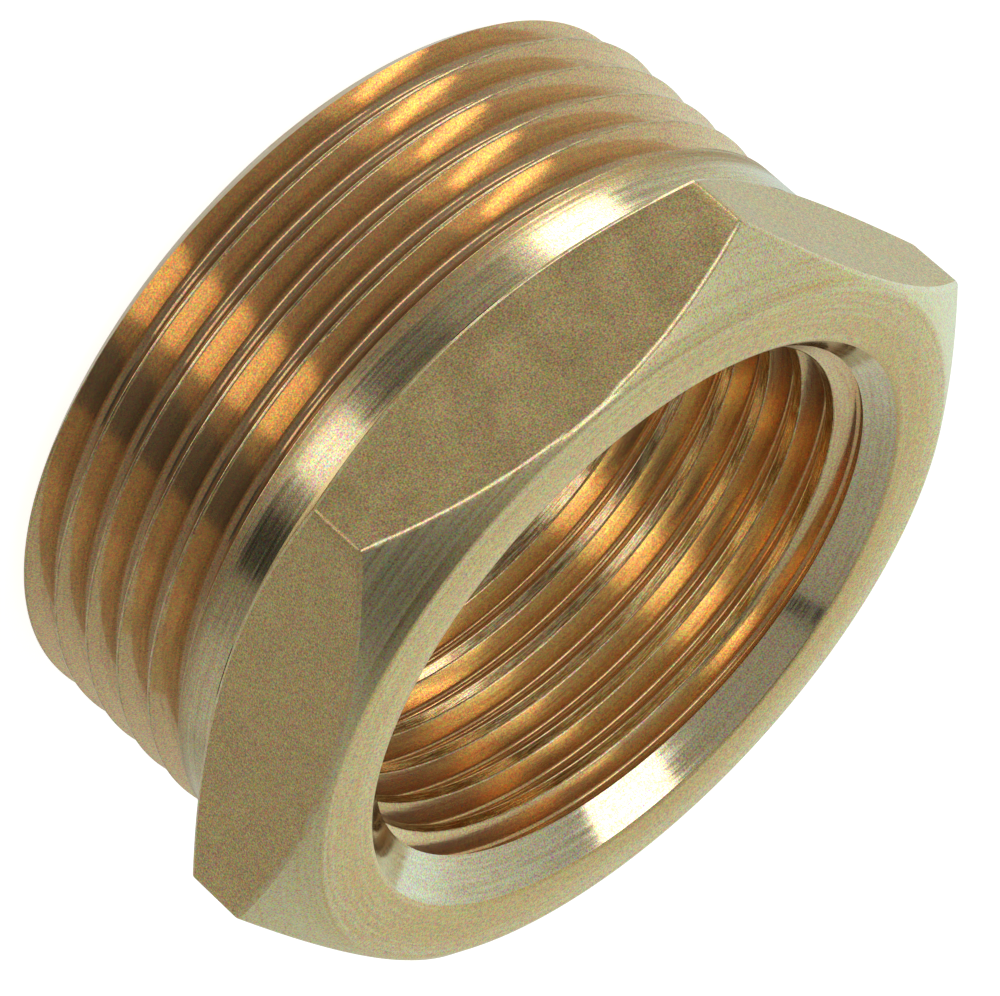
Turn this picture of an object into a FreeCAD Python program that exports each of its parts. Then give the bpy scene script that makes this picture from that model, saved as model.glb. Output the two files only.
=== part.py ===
import FreeCAD, Part
import math
import os

# Hexagon reducing bush in brass, one turned piece. It steps a 1 1/4 inch parallel pipe
# thread outside down to a 1 inch parallel pipe thread inside. Lengths are in millimetres.
# Z runs up the common axis, from the end of the outside thread at z = 0 to the hexagon's
# face. Two corners of the hexagon lie on the X axis and two flats face along Y.

total_length = 22.6
outside_major_diameter = 41.91
step_down = 8.661  # how much smaller the inside thread is than the outside one, over its diameter

# Hexagon, with a turned chamfer on its face and a turned taper behind it
hex_clearance = 0.09  # how much wider the hexagon's flats stand apart than the outside thread
hex_flat_height = 7.92  # from the face down to the lower edge of a flat, at its middle
face_clearance = 0.74  # how much narrower the face is than the hexagon across its flats
face_chamfer_angle = 36.8  # from the face's plane
hex_back_angle = 31.1  # from a plane square to the axis

# Both threads have eleven turns to the inch and flanks at 55 degrees
thread_pitch = 25.4 / 11
flank_angle = 55.0
root_share = 1 / 6  # a root's flat as a share of the pitch

# Outside thread
outside_depth = 1.479
outside_crest_height = 9.95  # height of one crest where it crosses the X axis
outside_groove_end = 120.0  # angle round the axis where the groove stops under the hexagon
end_chamfer = 0.85
end_chamfer_angle = 45.0

# Inside thread
inside_depth = 1.2245
inside_crest_height = 18.2  # height of one crest where it crosses the X axis
inside_groove_depth = 12.9  # from the face to where the groove stops in the bore
countersink_clearance = 1.72  # how much wider the countersink opens than the thread's roots
countersink_angle = 45.0  # between its wall and the axis
tail_chamfer = 0.5

# The bush is made as equal sectors, each with its own short stretches of both grooves. A
# groove is then exact at every seam, and a crest is a row of short patches of one cylinder.
sector_count = 6
tool_clearance = 0.6  # how far a cutting shape stands proud of the metal it removes
groove_clearance = 0.15  # the same for a groove, whose turns must stay apart
outside_runout_radius = 14.0  # of the round pocket that ends the outside groove
inside_runout_radius = 8.0
runout_relief = 0.1  # how much deeper than its groove a run-out pocket is cut

outside_radius = outside_major_diameter / 2
inside_major_diameter = outside_major_diameter - step_down
bore_radius = inside_major_diameter / 2 - inside_depth
across_flats = outside_major_diameter + hex_clearance
corner_radius = across_flats / math.sqrt(3)
up = FreeCAD.Vector(0, 0, 1)
origin = FreeCAD.Vector(0, 0, 0)


def slope(angle):
    return math.tan(math.radians(angle))


def turned(points, angle=360.0):
    """Turn an outline of (radius, height) points about Z, from the X axis on."""
    corners = [FreeCAD.Vector(radius, 0, height) for radius, height in points]
    face = Part.Face(Part.makePolygon(corners + corners[:1]))
    return face.revolve(origin, up, angle)


def hex_outline():
    """Half the section of the turned head, before its flats are cut."""
    face_radius = (across_flats - face_clearance) / 2
    rim = corner_radius + tool_clearance
    flat_bottom = total_length - hex_flat_height
    shank_top = flat_bottom - (across_flats / 2 - outside_radius) * slope(hex_back_angle)
    return [
        (outside_radius, shank_top),
        (rim, flat_bottom + (rim - across_flats / 2) * slope(hex_back_angle)),
        (rim, total_length - (rim - face_radius) * slope(face_chamfer_angle)),
        (face_radius, total_length),
    ]


def bore_outline():
    """The wall of the bore from the face down: countersink, minor diameter, tail chamfer."""
    mouth = (inside_major_diameter + countersink_clearance) / 2
    sink_depth = (mouth - bore_radius) / slope(countersink_angle)
    return [
        (mouth, total_length),
        (bore_radius, total_length - sink_depth),
        (bore_radius, tail_chamfer),
        (bore_radius + tail_chamfer, 0),
    ]


def shank_outline():
    """The end of the shank and its lead-in chamfer."""
    return [
        (outside_radius - end_chamfer, 0),
        (outside_radius, end_chamfer * slope(end_chamfer_angle)),
    ]


def hexagon_prism():
    corners = []
    for number in range(7):
        turn = math.radians(60 * number)
        corners.append(FreeCAD.Vector(math.cos(turn), math.sin(turn), 0) * corner_radius)
    return Part.Face(Part.makePolygon(corners)).extrude(up * total_length)


def blank_sector(number):
    """One sector of the bush before threading, cut to the hexagon."""
    angle = 360.0 / sector_count
    blank = turned(shank_outline() + hex_outline() + bore_outline(), angle)
    blank.rotate(origin, up, number * angle)
    return blank.common(hexagon_prism())


def groove_outline(root_radius, open_radius):
    """The section of a thread's groove, from its root's flat out to its open side."""
    root_half = thread_pitch * root_share / 2
    open_half = root_half + abs(open_radius - root_radius) * slope(flank_angle / 2)
    corners = [
        FreeCAD.Vector(root_radius, 0, -root_half),
        FreeCAD.Vector(root_radius, 0, root_half),
        FreeCAD.Vector(open_radius, 0, open_half),
        FreeCAD.Vector(open_radius, 0, -open_half),
    ]
    return Part.makePolygon(corners + corners[:1])


def groove_stretch(root_radius, open_radius):
    """A right-hand groove's stretch over one sector, from height 0 on the X axis."""
    path = Part.makeHelix(thread_pitch, thread_pitch / sector_count, root_radius)
    sweep = Part.BRepOffsetAPI.MakePipeShell(Part.Wire(path))
    sweep.setBiNormalMode(up)
    sweep.add(groove_outline(root_radius, open_radius))
    sweep.build()
    sweep.makeSolid()
    return sweep.shape()


def groove_numbers(crest_height, low, high):
    """The stretches of a groove between two heights, counted from the X axis above that crest."""
    rise = thread_pitch / sector_count
    middle = crest_height + thread_pitch / 2
    return range(math.ceil((low - middle) / rise), math.ceil((high - middle) / rise))


def placed_stretch(stretch, crest_height, number):
    placed = stretch.copy()
    placed.rotate(origin, up, number * 360.0 / sector_count)
    placed.translate(up * (crest_height + thread_pitch / 2 + number * thread_pitch / sector_count))
    return placed


def outside_groove():
    """Every stretch of the outside groove, with the number of the sector it starts in."""
    stretch = groove_stretch(outside_radius - outside_depth, outside_radius + groove_clearance)
    end_height = outside_crest_height + thread_pitch * (0.5 + outside_groove_end / 360)
    numbers = groove_numbers(outside_crest_height, -thread_pitch, end_height)
    return [(number, placed_stretch(stretch, outside_crest_height, number)) for number in numbers]


def inside_groove():
    """Every stretch of the inside groove, with the number of the sector it starts in."""
    stretch = groove_stretch(inside_major_diameter / 2, bore_radius - groove_clearance)
    low = total_length - inside_groove_depth
    numbers = groove_numbers(inside_crest_height, low, total_length + thread_pitch)
    return [(number, placed_stretch(stretch, inside_crest_height, number)) for number in numbers]


def runout_pocket(root_radius, open_radius, pocket_radius, crest_height, number):
    """The round pocket that ends a groove at a seam: the groove's own section, turned about
    an upright line, as a disc cutter leaves it."""
    outward = math.copysign(1, open_radius - root_radius)
    travel = abs(open_radius - root_radius) + runout_relief
    section = groove_outline(pocket_radius, pocket_radius - travel)
    pocket = Part.Face(section).revolve(origin, up, 360)
    centre = root_radius + outward * (pocket_radius - runout_relief)
    pocket.translate(FreeCAD.Vector(centre, 0, 0))
    return placed_stretch(pocket, crest_height, number)


def runout_pockets(outside, inside):
    """Where the outside groove stops below the hexagon, and the inside one deep in the bore."""
    return [
        runout_pocket(
            outside_radius - outside_depth,
            outside_radius + groove_clearance,
            outside_runout_radius,
            outside_crest_height,
            outside[-1][0] + 1,
        ),
        runout_pocket(
            inside_major_diameter / 2,
            bore_radius - groove_clearance,
            inside_runout_radius,
            inside_crest_height,
            inside[0][0],
        ),
    ]


def reducer_body():
    outside = outside_groove()
    inside = inside_groove()
    sectors = []
    for number in range(sector_count):
        own = [stretch for place, stretch in outside + inside if place % sector_count == number]
        sectors.append(blank_sector(number).cut(own))
    return sectors[0].multiFuse(sectors[1:]).cut(runout_pockets(outside, inside))


os.makedirs("parts", exist_ok=True)
finished = reducer_body()
finished.exportStep("parts/reducer_body.step")
print("volume mm3:", round(finished.Volume, 1), "solids:", len(finished.Solids), "valid:", finished.isValid())
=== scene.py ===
import math

import bpy
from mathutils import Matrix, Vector


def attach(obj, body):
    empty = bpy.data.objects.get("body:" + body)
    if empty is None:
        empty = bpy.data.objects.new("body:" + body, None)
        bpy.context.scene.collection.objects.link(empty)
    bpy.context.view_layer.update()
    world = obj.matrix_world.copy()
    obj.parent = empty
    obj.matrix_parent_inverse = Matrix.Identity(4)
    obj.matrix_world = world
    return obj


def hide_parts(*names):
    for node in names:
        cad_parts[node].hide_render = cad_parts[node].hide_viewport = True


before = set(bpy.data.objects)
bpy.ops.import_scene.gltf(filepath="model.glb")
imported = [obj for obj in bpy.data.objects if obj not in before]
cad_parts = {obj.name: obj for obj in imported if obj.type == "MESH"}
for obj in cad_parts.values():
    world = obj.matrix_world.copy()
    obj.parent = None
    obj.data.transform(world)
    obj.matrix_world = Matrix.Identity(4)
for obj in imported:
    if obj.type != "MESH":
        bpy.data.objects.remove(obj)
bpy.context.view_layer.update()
mm = 0.001
print("frame loaded:", sorted(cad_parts))


# camera and studio

camera = {
    "place": (0.31121, -0.07985, 0.16462),
    "turn": (-54.696, -42.138, -129.777),  # degrees about X, Y and Z
    "lens": 259.81,
    "sensor": 36,
    "nearest": 0.01,
}

floor = {"size": 3.0, "white": 0.85, "roughness": 0.9, "shine": 0.5, "glow": 0.8}

cardPaint = {"white": 0.02, "roughness": 0.5, "shine": 0.0, "glowColour": (1, 0.95, 0.85, 1)}

# lamps and cards hang round the middle of the bush, in metres and by azimuth from +X and height in degrees
hanging = {"middle": (0, 0, 0.0113), "lampsAway": 0.5, "cardsAway": 0.45}

lamps = {
    "frontStrip": {"azimuth": 5.0, "height": -35.0, "wide": 0.17, "tall": 0.36, "power": 0.21},
    "frontLow": {"azimuth": 24.0, "height": -52.0, "wide": 0.22, "tall": 0.16, "power": 0.15},
    "sideStrip": {"azimuth": -87.0, "height": -26.0, "wide": 0.21, "tall": 0.05, "power": 0.068},
    "sideGlow": {"azimuth": -80.0, "height": -28.0, "wide": 0.24, "tall": 0.26, "power": 0.08},
    "sideLow": {"azimuth": -78.0, "height": -50.0, "wide": 0.22, "tall": 0.20, "power": 0.17},
    "highPanel": {"azimuth": -72.0, "height": 59.0, "wide": 0.29, "tall": 0.11, "power": 0.19},
    "edgeStrip": {"azimuth": -37.0, "height": 25.0, "wide": 0.68, "tall": 0.12, "power": 0.31},
    "leftGlow": {"azimuth": 85.0, "height": -30.0, "wide": 0.30, "tall": 0.30, "power": 0.03},
}

darkCards = {
    "lowCard": {"azimuth": 36.0, "height": -24.0, "wide": 0.15, "tall": 0.22, "glow": 0.02},
    "highCard": {"azimuth": 80.0, "height": 75.0, "wide": 0.24, "tall": 0.20, "glow": 0.0},
    "midCard": {"azimuth": -26.0, "height": -24.0, "wide": 0.19, "tall": 0.09, "glow": 0.12},
    "topCard": {"azimuth": 0.0, "height": 90.0, "wide": 0.14, "tall": 0.14, "glow": 0.2},
}

# the room's glow from its dim side, over the middle, to its bright side
surround = {
    "brightAzimuth": -172.0,
    "brightHeight": -4.0,
    "tones": [
        (0.0, (0.21, 0.19, 0.15)),
        (0.25, (0.30, 0.28, 0.24)),
        (0.6, (0.38, 0.39, 0.35)),
        (0.9, (0.60, 0.63, 0.59)),
        (1.0, (0.78, 0.94, 0.98)),
    ],
}


def lookToward(azimuth, height):
    azimuth = math.radians(azimuth)
    height = math.radians(height)
    level = math.cos(height)
    return Vector((level * math.cos(azimuth), level * math.sin(azimuth), math.sin(height)))


def hangUp(name, spot, away):  # moves the new lamp or card to its place and turns it to the bush
    toward = lookToward(spot["azimuth"], spot["height"])
    made = bpy.context.object
    made.name = name
    made.location = Vector(hanging["middle"]) + toward * away
    made.rotation_euler = toward.to_track_quat("Z", "Y").to_euler()
    return made


def makePaint(name, look, glowColour, glow):
    paint = bpy.data.materials.new(name)
    paint.use_nodes = True
    shader = paint.node_tree.nodes["Principled BSDF"]
    shader.inputs["Base Color"].default_value = (look["white"],) * 3 + (1,)
    shader.inputs["Roughness"].default_value = look["roughness"]
    shader.inputs["Specular IOR Level"].default_value = look["shine"]
    shader.inputs["Emission Color"].default_value = glowColour
    shader.inputs["Emission Strength"].default_value = glow
    return paint


def aimLamp(name, lamp):
    bpy.ops.object.light_add(type="AREA")
    made = hangUp(name, lamp, hanging["lampsAway"])
    made.data.shape = "RECTANGLE"
    made.data.size = lamp["wide"]
    made.data.size_y = lamp["tall"]
    made.data.energy = lamp["power"]


def hangCard(name, card):
    bpy.ops.mesh.primitive_plane_add(size=1)
    made = hangUp(name, card, hanging["cardsAway"])
    made.scale = (card["wide"], card["tall"], 1)
    made.visible_camera = False
    made.visible_diffuse = False
    made.visible_shadow = False
    made.data.materials.append(makePaint(name, cardPaint, cardPaint["glowColour"], card["glow"]))


def glowRoom():
    world = bpy.data.worlds.new("studio")
    world.use_nodes = True
    tree = world.node_tree
    place = tree.nodes.new("ShaderNodeTexCoord")
    toward = tree.nodes.new("ShaderNodeVectorMath")
    toward.operation = "DOT_PRODUCT"
    toward.inputs[1].default_value = lookToward(surround["brightAzimuth"], surround["brightHeight"])
    tree.links.new(place.outputs["Generated"], toward.inputs[0])
    share = tree.nodes.new("ShaderNodeMapRange")
    share.inputs["From Min"].default_value = -1
    tree.links.new(toward.outputs["Value"], share.inputs["Value"])
    tones = tree.nodes.new("ShaderNodeValToRGB")
    tones.color_ramp.interpolation = "LINEAR"
    for at, colour in surround["tones"][1:-1]:
        tones.color_ramp.elements.new(at)
    for stop, (at, colour) in zip(tones.color_ramp.elements, surround["tones"]):
        stop.position = at
        stop.color = (*colour, 1)
    tree.links.new(share.outputs["Result"], tones.inputs["Fac"])
    tree.links.new(tones.outputs["Color"], tree.nodes["Background"].inputs["Color"])
    bpy.context.scene.world = world


def layFloor():
    bpy.ops.mesh.primitive_plane_add(size=floor["size"])
    sheet = bpy.context.object
    sheet.name = "paleFloor"
    sheet.visible_glossy = False  # the bush shows the lamps and not its own white ground
    sheet.visible_shadow = False
    sheet.data.materials.append(makePaint("paleFloor", floor, (1, 1, 1, 1), floor["glow"]))


def setStudio():
    turn = [math.radians(angle) for angle in camera["turn"]]
    bpy.ops.object.camera_add(location=camera["place"], rotation=turn)
    made = bpy.context.object
    made.data.sensor_width = camera["sensor"]
    made.data.lens = camera["lens"]
    made.data.clip_start = camera["nearest"]
    bpy.context.scene.camera = made
    bpy.context.scene.view_settings.view_transform = "Standard"
    for name, lamp in lamps.items():
        aimLamp(name, lamp)
    for name, card in darkCards.items():
        hangCard(name, card)
    glowRoom()
    layFloor()


setStudio()
print("camera, lamps and floor set")


# the turned blank, cut to its hexagon

blank = {
    "columns": 240,
    "height": 22.6,
    "shankRadius": 20.955,
    "flatsApart": 42.0,
    "flatDrop": 7.92,  # from the face to the lower edge of a flat at its middle
    "faceRadius": 20.63,
    "faceSlope": 36.8,
    "backSlope": 31.1,
    "rimRadius": 24.9,
    "mouthRadius": 17.485,
    "boreRadius": 15.4,
    "tailChamfer": 0.5,
    "endChamfer": 0.85,
    "burrWidth": 0.17,  # of the small rounding that every edge of the head gets
}
mouthLow = blank["height"] - (blank["mouthRadius"] - blank["boreRadius"])  # its cone leans at 45 degrees

# mm, but for lean, which is the upward part of a face's normal
closeness = {"weld": 0.002, "cut": 0.001, "rim": 0.01, "lean": 0.01, "flatRadius": 20.97}


def turnBlank():
    apothem = blank["flatsApart"] / 2
    flatLow = blank["height"] - blank["flatDrop"]
    backRise = math.tan(math.radians(blank["backSlope"]))
    faceFall = math.tan(math.radians(blank["faceSlope"]))
    rim = blank["rimRadius"]
    outline = [
        (blank["shankRadius"] - blank["endChamfer"], 0),
        (blank["shankRadius"], blank["endChamfer"]),
        (blank["shankRadius"], flatLow - (apothem - blank["shankRadius"]) * backRise),
        (rim, flatLow + (rim - apothem) * backRise),
        (rim, blank["height"] - (rim - blank["faceRadius"]) * faceFall),
        (blank["faceRadius"], blank["height"]),
        (blank["mouthRadius"], blank["height"]),
        (blank["boreRadius"], mouthLow),
        (blank["boreRadius"], blank["tailChamfer"]),
        (blank["boreRadius"] + blank["tailChamfer"], 0),
    ]
    bpy.ops.object.select_all(action="DESELECT")
    radius, height = outline[0]
    bpy.ops.mesh.primitive_circle_add(vertices=blank["columns"], radius=radius * mm)
    turned = bpy.context.object
    bpy.ops.object.mode_set(mode="EDIT")
    for nextRadius, nextHeight in outline[1:] + outline[:1]:
        rise = (nextHeight - height) * mm
        bpy.ops.mesh.extrude_region_move(TRANSFORM_OT_translate={"value": (0, 0, rise)})
        factor = nextRadius / radius
        bpy.ops.transform.resize(value=(factor, factor, 1), center_override=(0, 0, 0))
        radius, height = nextRadius, nextHeight
    bpy.ops.mesh.select_all(action="SELECT")
    bpy.ops.mesh.remove_doubles(threshold=closeness["weld"] * mm)
    bpy.ops.mesh.normals_make_consistent(inside=False)
    bpy.ops.object.mode_set(mode="OBJECT")
    return turned


def cutHexagon():
    bpy.ops.object.mode_set(mode="EDIT")
    for number in range(6):
        turn = math.radians(30 + 60 * number)
        outward = Vector((math.cos(turn), math.sin(turn), 0))
        bpy.ops.mesh.select_all(action="SELECT")
        bpy.ops.mesh.bisect(
            plane_co=outward * (blank["flatsApart"] / 2 * mm),
            plane_no=outward,
            use_fill=True,
            clear_outer=True,
            threshold=closeness["cut"] * mm,
        )
    bpy.ops.object.mode_set(mode="OBJECT")


def isFlat(face):
    outside = face.center.xy.length > closeness["flatRadius"] * mm
    return abs(face.normal.z) < closeness["lean"] and outside


def selectEdges(mesh, isWanted):  # leaves them selected in edit mode
    bpy.context.tool_settings.mesh_select_mode = (False, True, False)
    bpy.ops.object.mode_set(mode="EDIT")
    bpy.ops.mesh.select_all(action="DESELECT")
    bpy.ops.object.mode_set(mode="OBJECT")
    for edge in mesh.edges:
        edge.select = isWanted(edge)
    bpy.ops.object.mode_set(mode="EDIT")


def softenEdges(turned):
    mesh = turned.data
    rims = [
        (blank["faceRadius"], blank["height"]),
        (blank["mouthRadius"], blank["height"]),
        (blank["boreRadius"], mouthLow),
    ]
    roundFlats = {key for face in mesh.polygons if isFlat(face) for key in face.edge_keys}

    def isOn(end, radius, height):
        apart = abs(end.xy.length - radius * mm) + abs(end.z - height * mm)
        return apart < closeness["rim"] * mm

    def isSharp(edge):
        ends = [mesh.vertices[number].co for number in edge.vertices]
        onRim = any(all(isOn(end, *rim) for end in ends) for rim in rims)
        return onRim or edge.key in roundFlats

    selectEdges(mesh, isSharp)
    bpy.ops.mesh.bevel(offset=blank["burrWidth"] * mm, segments=2, clamp_overlap=False)
    bpy.ops.object.mode_set(mode="OBJECT")


bush = turnBlank()
bush.name = "reducerBush"
cutHexagon()
softenEdges(bush)
print("blank turned and cut:", len(bush.data.polygons), "faces")


# the two threads, cut with a rounded V swept up a helix

inch = 25.4
turnsToInch = 11

# the groove's middle lies half a pitch over a crest, and it starts whole turns under that
outsideThread = {
    "pitch": inch / turnsToInch,
    "rootRadius": 19.476,
    "rootRound": 0.50,
    "crestRadius": 20.955,
    "crestRound": 0.07,
    "startHeight": 9.95 + inch / 2 / turnsToInch - 6 * inch / turnsToInch,
    "turns": 6 + 1 / 3,
    "fadeTurns": 0.12,  # over which its last part grows shallow and leaves the metal
    "stepsInTurn": 240,
}

insideThread = {
    "pitch": inch / turnsToInch,
    "rootRadius": 16.6245,
    "rootRound": 0.36,
    "crestRadius": 15.4,
    "crestRound": 0.12,
    "startHeight": 18.2 + inch / 2 / turnsToInch - 5 * inch / turnsToInch,
    "turns": 7,
    "fadeTurns": 0,
    "stepsInTurn": 240,
}

vForm = {
    "flankAngle": 27.5,
    "rootSteps": 5,
    "crestSteps": 3,
    "clearance": 0.1,  # that the V stands clear of the crest, and how much wider it grows there
    "clearanceFlare": 0.02,
}

smoothUnder = 28  # degrees between two faces that are shaded as one


def grooveSection(thread):  # half of it, from the root's middle out past the crest's rounded edge
    outward = math.copysign(1, thread["crestRadius"] - thread["rootRadius"])
    depth = abs(thread["crestRadius"] - thread["rootRadius"])
    flank = math.radians(vForm["flankAngle"])
    full = math.pi / 2 - flank
    bend = thread["rootRound"]
    section = []
    for step in range(1, 2 * vForm["rootSteps"], 2):
        turn = full * step / (2 * vForm["rootSteps"] - 1)
        radius = thread["rootRadius"] + outward * bend * (1 - math.cos(turn))
        section.append((radius, bend * math.sin(turn)))
    crestHalf = bend * math.sin(full) + (depth - bend * (1 - math.cos(full))) * math.tan(flank)
    curve = thread["crestRound"]
    corner = crestHalf + curve * math.tan(full / 2)
    for step in range(vForm["crestSteps"] + 1):
        turn = full * (1 - step / vForm["crestSteps"])
        radius = thread["crestRadius"] - outward * curve * (1 - math.cos(turn))
        section.append((radius, corner - curve * math.sin(turn)))
    clear = thread["crestRadius"] + outward * vForm["clearance"]
    section.append((clear, corner + vForm["clearanceFlare"]))
    return section


def fadeOut(cutter, thread, ring, steps):  # ring is the number of points in one section
    fadeSteps = thread["fadeTurns"] * thread["stepsInTurn"]
    lift = (thread["crestRadius"] - thread["rootRadius"] + vForm["clearance"]) * mm
    for number, vertex in enumerate(cutter.data.vertices):
        late = number // ring - (steps - fadeSteps)
        if late > 0:
            reach = vertex.co.xy.length
            vertex.co.xy *= (reach + lift * late / fadeSteps) / reach


def makeCutter(name, thread):
    half = grooveSection(thread)
    outline = [(radius, -height) for radius, height in reversed(half)] + half
    steps = round(thread["stepsInTurn"] * thread["turns"])
    bpy.ops.object.select_all(action="DESELECT")
    bpy.ops.mesh.primitive_circle_add(vertices=len(outline), radius=1)
    cutter = bpy.context.object
    cutter.name = name
    for vertex, (radius, height) in zip(cutter.data.vertices, outline):
        vertex.co = (radius * mm, 0, (height + thread["startHeight"]) * mm)
    screw = cutter.modifiers.new("helix", "SCREW")
    screw.axis = "Z"
    screw.angle = 2 * math.pi * thread["turns"]
    screw.screw_offset = thread["pitch"] * thread["turns"] * mm
    screw.steps = steps
    screw.render_steps = steps
    screw.use_smooth_shade = False
    bpy.ops.object.modifier_apply(modifier="helix")
    if thread["fadeTurns"]:
        fadeOut(cutter, thread, len(outline), steps)
    bpy.ops.object.mode_set(mode="EDIT")
    bpy.ops.mesh.select_all(action="SELECT")
    bpy.ops.mesh.fill_holes(sides=0)
    bpy.ops.mesh.select_all(action="SELECT")
    bpy.ops.mesh.normals_make_consistent(inside=False)
    bpy.ops.object.mode_set(mode="OBJECT")
    return cutter


def cutThreads(turned, cutters):
    bpy.ops.object.select_all(action="DESELECT")
    for cutter in cutters:
        cutter.select_set(True)
    bpy.context.view_layer.objects.active = cutters[0]
    bpy.ops.object.join()
    bpy.ops.object.select_all(action="DESELECT")
    turned.select_set(True)
    bpy.context.view_layer.objects.active = turned
    boolean = turned.modifiers.new("threads", "BOOLEAN")
    boolean.operation = "DIFFERENCE"
    boolean.solver = "EXACT"
    boolean.object = cutters[0]
    bpy.ops.object.modifier_apply(modifier="threads")
    bpy.data.objects.remove(cutters[0])
    bpy.ops.object.shade_smooth_by_angle(angle=math.radians(smoothUnder))


cutThreads(bush, [makeCutter("outsideCutter", outsideThread), makeCutter("insideCutter", insideThread)])
print("threads cut:", len(bush.data.polygons), "faces")


# brass finishes, worked out from each point's place round the turning axis

# lengths are in mm. A tint is the radii where the dark tone starts and the light one is full, and the
# tool marks' part in it; on the threads the tint is painted shade, darker towards the groove's root. A
# film is the weight of a dull coat
finishes = {
    "grainedFlat": {
        "light": (0.98, 0.77, 0.41),
        "dark": (0.46, 0.34, 0.165),
        "roughness": (0.34, 0.46),
        "grain": 0.09,
        "grainDepth": 0.008,
        "cloud": 2.5,  # across one cloudy patch
        "cloudPart": 0.3,
        "toneSpan": (0.40, 0.88),
    },
    "turnedFace": {
        "light": (0.96, 0.81, 0.50),
        "dark": (0.82, 0.60, 0.28),
        "tint": (18.6, 22.4, 0.6),
        "roughness": (0.26, 0.36),
        "markWidth": 0.16,  # from one tool mark to the next
        "markLength": 9.0,
        "markDepth": 0.002,
        "anisotropy": 0.3,
    },
    "turnedShank": {
        "light": (0.90, 0.77, 0.50),
        "dark": (0.60, 0.48, 0.27),
        "roughness": (0.09, 0.18),
        "markWidth": 0.12,
        "markLength": 6.0,
        "markDepth": 0.002,
        "anisotropy": 0.8,
        "torn": {  # where the thread runs out
            "height": (13.2, 12.2),
            "tone": (0.56, 0.39, 0.19),
            "roughness": 0.38,
            "markSpan": (0.35, 0.65),
            "markPart": (0.4, 1.6),
        },
    },
    "reamedMouth": {
        "light": (0.92, 0.82, 0.58),
        "dark": (0.72, 0.60, 0.38),
        "roughness": (0.07, 0.16),
        "markWidth": 0.12,
        "markLength": 5.0,
        "markDepth": 0.001,
        "anisotropy": 0.3,
    },
    "cutOutside": {
        "light": (0.84, 0.56, 0.27),
        "dark": (0.56, 0.34, 0.15),
        "film": 1.0,
        "roughness": (0.07, 0.13),
        "markWidth": 0.12,
        "markLength": 4.0,
        "markDepth": 0.001,
        "anisotropy": 0.2,
        # painted shade: the flank's tone grows darker towards the groove's root
        "tint": (19.5, 20.4, 0.45),
    },
    "cutInside": {
        "light": (0.98, 0.70, 0.35),
        "dark": (0.84, 0.50, 0.21),
        "film": 1.0,
        "roughness": (0.10, 0.20),
        "markWidth": 0.11,
        "markLength": 3.0,
        "markDepth": 0.003,
        "anisotropy": 0.3,
        # painted shade: the flank's tone grows darker towards the groove's root, out from the axis
        "tint": (16.5, 15.6, 0.9),
    },
    # the inner crests: light tool-mark dashes over a mostly dark tone that is painted shade, for the dim
    # bore they reflect
    "crestInside": {
        "light": (0.98, 0.84, 0.52),
        "dark": (0.52, 0.30, 0.12),
        "roughness": (0.12, 0.26),
        "markWidth": 0.07,
        "markLength": 1.2,
        "markDepth": 0.003,
        "markReach": (0.42, 0.66),
        "anisotropy": 0.2,
    },
    "crestEdge": {
        "light": (0.90, 0.72, 0.44),
        "dark": (0.50, 0.34, 0.16),
        "roughness": (0.14, 0.30),
        "markWidth": 0.10,
        "markLength": 0.8,
        "markDepth": 0.004,
        "anisotropy": 0.0,
    },
    "burrEdge": {
        "light": (1.0, 0.86, 0.58),
        "dark": (0.84, 0.60, 0.30),
        "roughness": (0.18, 0.30),
        "markWidth": 0.20,
        "markLength": 0.6,
        "markDepth": 0.002,
        "anisotropy": 0.0,
    },
}

speckle = {"size": 0.08, "strength": 1.9}  # fine grains of slightly different tone on every finish
film = {"roughness": 0.40, "refraction": 1.85}
noiseSpan = (0.3, 0.7)  # where nearly all of a noise's values lie


def addVectorMath(tree, operation, value, factor=None):
    made = tree.nodes.new("ShaderNodeVectorMath")
    made.operation = operation
    tree.links.new(value, made.inputs[0])
    if factor is not None:
        made.inputs[1].default_value = factor
    return made


def addNoise(tree, place, lengths, reach=None, detail=2.0, output="Fac"):
    stretch = addVectorMath(tree, "MULTIPLY", place, [1 / (length * mm) for length in lengths])
    noise = tree.nodes.new("ShaderNodeTexNoise")
    noise.noise_dimensions = "4D"
    noise.inputs["Scale"].default_value = 1
    noise.inputs["Detail"].default_value = detail
    tree.links.new(stretch.outputs["Vector"], noise.inputs["Vector"])
    if reach is not None:
        across = tree.nodes.new("ShaderNodeMath")
        across.operation = "MULTIPLY"
        across.inputs[1].default_value = 1 / (lengths[2] * mm)
        tree.links.new(reach, across.inputs[0])
        tree.links.new(across.outputs["Value"], noise.inputs["W"])
    return noise.outputs[output]


def axisReach(tree, place):
    level = addVectorMath(tree, "MULTIPLY", place, (1, 1, 0))
    return addVectorMath(tree, "LENGTH", level.outputs["Vector"]).outputs["Value"]


def remap(tree, value, span, reach=(0.0, 1.0)):
    made = tree.nodes.new("ShaderNodeMapRange")
    tree.links.new(value, made.inputs["Value"])
    for name, number in zip(("From Min", "From Max", "To Min", "To Max"), (*span, *reach)):
        made.inputs[name].default_value = number
    return made.outputs["Result"]


def mixTones(tree, share, dark, light):
    mix = tree.nodes.new("ShaderNodeMix")
    mix.data_type = "RGBA"
    tree.links.new(share, mix.inputs["Factor"])
    mix.inputs["A"].default_value = (*dark, 1)
    mix.inputs["B"].default_value = (*light, 1)
    return mix.outputs["Result"]


def addSpeckle(tree, place, tone):
    grains = addNoise(tree, place, (speckle["size"],) * 3, detail=0.0, output="Color")
    swing = addVectorMath(tree, "MULTIPLY_ADD", grains, (speckle["strength"],) * 3)
    swing.inputs[2].default_value = (1 - speckle["strength"] / 2,) * 3
    shaded = addVectorMath(tree, "MULTIPLY", tone)
    tree.links.new(swing.outputs["Vector"], shaded.inputs[1])
    return shaded.outputs["Vector"]


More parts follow.
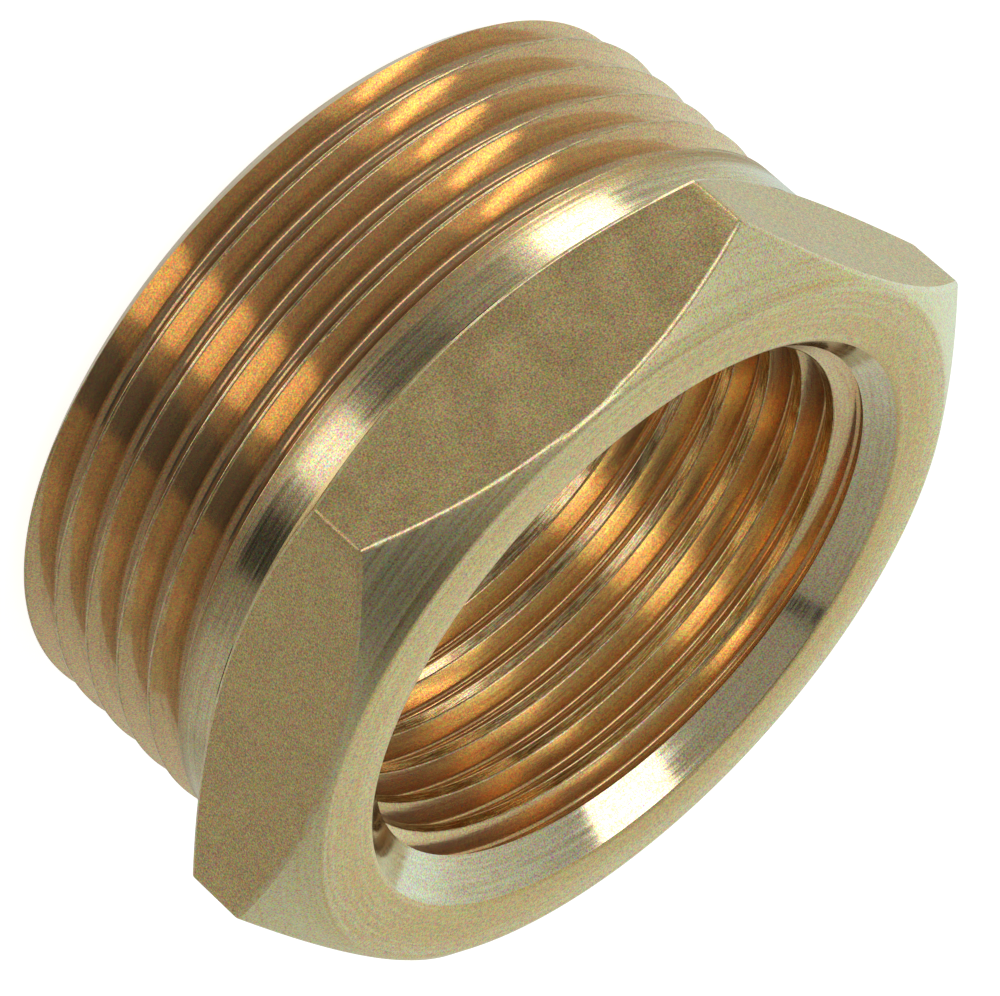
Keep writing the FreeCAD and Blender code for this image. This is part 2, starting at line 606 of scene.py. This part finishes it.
def addTorn(tree, place, marks, tone, rough, torn):
    apart = tree.nodes.new("ShaderNodeSeparateXYZ")
    tree.links.new(place, apart.inputs["Vector"])
    near = remap(tree, apart.outputs["Z"], [height * mm for height in torn["height"]])
    patchy = tree.nodes.new("ShaderNodeMath")
    patchy.operation = "MULTIPLY"
    patchy.use_clamp = True
    tree.links.new(remap(tree, marks, torn["markSpan"], torn["markPart"]), patchy.inputs[0])
    tree.links.new(near, patchy.inputs[1])
    toned = tree.nodes.new("ShaderNodeMix")
    toned.data_type = "RGBA"
    tree.links.new(patchy.outputs["Value"], toned.inputs["Factor"])
    tree.links.new(tone, toned.inputs["A"])
    toned.inputs["B"].default_value = (*torn["tone"], 1)
    roughened = tree.nodes.new("ShaderNodeMix")
    tree.links.new(patchy.outputs["Value"], roughened.inputs["Factor"])
    tree.links.new(rough, roughened.inputs["A"])
    roughened.inputs["B"].default_value = torn["roughness"]
    return toned.outputs["Result"], roughened.outputs["Result"]


def setBump(tree, shader, height, depth):
    bump = tree.nodes.new("ShaderNodeBump")
    bump.inputs["Strength"].default_value = 1
    bump.inputs["Distance"].default_value = depth * mm
    tree.links.new(height, bump.inputs["Height"])
    tree.links.new(bump.outputs["Normal"], shader.inputs["Normal"])


def addGrain(tree, shader, place, finish):
    grains = addNoise(tree, place, (finish["grain"],) * 3, detail=3.0)
    clouds = addNoise(tree, place, (finish["cloud"],) * 3, detail=4.0)
    blend = tree.nodes.new("ShaderNodeMath")
    blend.operation = "MULTIPLY_ADD"
    blend.inputs[1].default_value = finish["cloudPart"]
    tree.links.new(clouds, blend.inputs[0])
    tree.links.new(grains, blend.inputs[2])
    share = remap(tree, blend.outputs["Value"], finish["toneSpan"])
    tone = addSpeckle(tree, place, mixTones(tree, share, finish["dark"], finish["light"]))
    tree.links.new(tone, shader.inputs["Base Color"])
    rough = remap(tree, clouds, noiseSpan, finish["roughness"])
    tree.links.new(rough, shader.inputs["Roughness"])
    setBump(tree, shader, grains, finish["grainDepth"])


# a tone that is darker towards one radius; on the threads it is painted shade in the groove's root
def addTint(tree, marks, reach, tint):
    inner, outer, most = tint
    both = tree.nodes.new("ShaderNodeMath")
    both.operation = "ADD"
    both.use_clamp = True
    tree.links.new(remap(tree, marks, noiseSpan, (-most, most)), both.inputs[0])
    tree.links.new(remap(tree, reach, (inner * mm, outer * mm)), both.inputs[1])
    return both.outputs["Value"]


def addToolMarks(tree, shader, place, finish):
    reach = axisReach(tree, place)
    lengths = (finish["markLength"], finish["markLength"], finish["markWidth"])
    marks = addNoise(tree, place, lengths, reach, detail=3.0)
    if "tint" in finish:
        share = addTint(tree, marks, reach, finish["tint"])
    else:
        share = remap(tree, marks, finish.get("markReach", noiseSpan))
    tone = mixTones(tree, share, finish["dark"], finish["light"])
    rough = remap(tree, marks, noiseSpan, finish["roughness"])
    if "torn" in finish:
        tone, rough = addTorn(tree, place, marks, tone, rough, finish["torn"])
    tree.links.new(addSpeckle(tree, place, tone), shader.inputs["Base Color"])
    tree.links.new(rough, shader.inputs["Roughness"])
    shader.inputs["Coat Weight"].default_value = finish.get("film", 0.0)
    shader.inputs["Coat Roughness"].default_value = film["roughness"]
    shader.inputs["Coat IOR"].default_value = film["refraction"]
    shader.inputs["Anisotropic"].default_value = finish["anisotropy"]
    tangent = tree.nodes.new("ShaderNodeTangent")
    tangent.direction_type = "RADIAL"
    tangent.axis = "Z"
    tree.links.new(tangent.outputs["Tangent"], shader.inputs["Tangent"])
    setBump(tree, shader, marks, finish["markDepth"])


def makeFinish(name, finish):
    made = bpy.data.materials.new(name)
    made.use_nodes = True
    tree = made.node_tree
    shader = tree.nodes["Principled BSDF"]
    shader.inputs["Metallic"].default_value = 1.0
    place = tree.nodes.new("ShaderNodeTexCoord").outputs["Object"]
    if "grain" in finish:
        addGrain(tree, shader, place, finish)
    else:
        addToolMarks(tree, shader, place, finish)
    return made


# heights and radii in mm. A slope is the upward part of a face's normal, from 0 upright to 1 level
zones = {
    "headLow": 14,
    "threadHigh": 12.6,  # over this the crests have run out
    "wallRadius": 18,  # between the two threads
    "cornerRadius": 24,
    "outerFaceLow": 22,
    "innerFaceLow": 22.5,
    "mouthLow": 20.4,
    "mouthSlope": 0.707,
    "mouthSlopeReach": 0.03,
    "endHigh": 0.001,
    "tailHigh": 1,
    "burrSlopes": (0.02, 0.78),
    "shankSlope": 0.05,
    "crestSlopes": (0.1, 0.86),
    "crestReach": 0.02,
    "crestEdgeReach": 0.1,
}


def headFinish(radius, slope):
    low, high = zones["burrSlopes"]
    return "burrEdge" if low < slope < high or radius > zones["cornerRadius"] else "turnedFace"


def outsideFinish(mesh, face, radius, height, slope):
    crest = outsideThread["crestRadius"]
    top = max(mesh.vertices[number].co.z for number in face.vertices) / mm
    onShank = slope < zones["shankSlope"] and radius > crest - zones["crestReach"]
    nearCrest = radius > crest - zones["crestEdgeReach"] and slope < zones["crestSlopes"][1]
    if onShank and top > zones["headLow"]:
        return "turnedShank"
    if nearCrest and height < zones["threadHigh"]:
        return "crestEdge"
    if onShank:
        return "turnedShank"
    onEnd = height > zones["outerFaceLow"] or height < zones["endHigh"]
    return "turnedFace" if onEnd else "cutOutside"


def insideFinish(face, radius, height, slope):
    crest = insideThread["crestRadius"]
    low, high = zones["crestSlopes"]
    offMouth = abs(face.normal.z - zones["mouthSlope"])
    if height > zones["mouthLow"] and offMouth < zones["mouthSlopeReach"]:
        return "reamedMouth"
    if height > zones["innerFaceLow"] or height < zones["endHigh"]:
        return "turnedFace"
    # the inner crest flats, whose dark tone is painted shade
    if radius < crest + zones["crestReach"] and slope < low and height > zones["tailHigh"]:
        return "crestInside"
    nearCrest = radius < crest + zones["crestEdgeReach"] and low < slope < high
    return "crestEdge" if nearCrest else "cutInside"


def finishFor(mesh, face):
    radius = face.center.xy.length / mm
    height = face.center.z / mm
    slope = abs(face.normal.z)
    if height > zones["headLow"] and isFlat(face):
        return "grainedFlat"
    if height > zones["headLow"] and radius > outsideThread["crestRadius"] + zones["crestReach"]:
        return headFinish(radius, slope)
    if radius > zones["wallRadius"]:
        return outsideFinish(mesh, face, radius, height, slope)
    return insideFinish(face, radius, height, slope)


def partFinishes(turned):  # a sharp line wherever two finishes meet
    meeting = {}
    for face in turned.data.polygons:
        for key in face.edge_keys:
            meeting.setdefault(key, set()).add(face.material_index)
    selectEdges(turned.data, lambda edge: len(meeting[edge.key]) > 1)
    bpy.ops.mesh.mark_sharp()
    bpy.ops.object.mode_set(mode="OBJECT")


names = list(finishes)
for name in names:
    bush.data.materials.append(makeFinish(name, finishes[name]))
for face in bush.data.polygons:
    face.material_index = names.index(finishFor(bush.data, face))
partFinishes(bush)
print("finishes made")

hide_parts("reducer_body")
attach(bush, "root")

print("done:", len(bush.data.polygons), "faces on the bush")
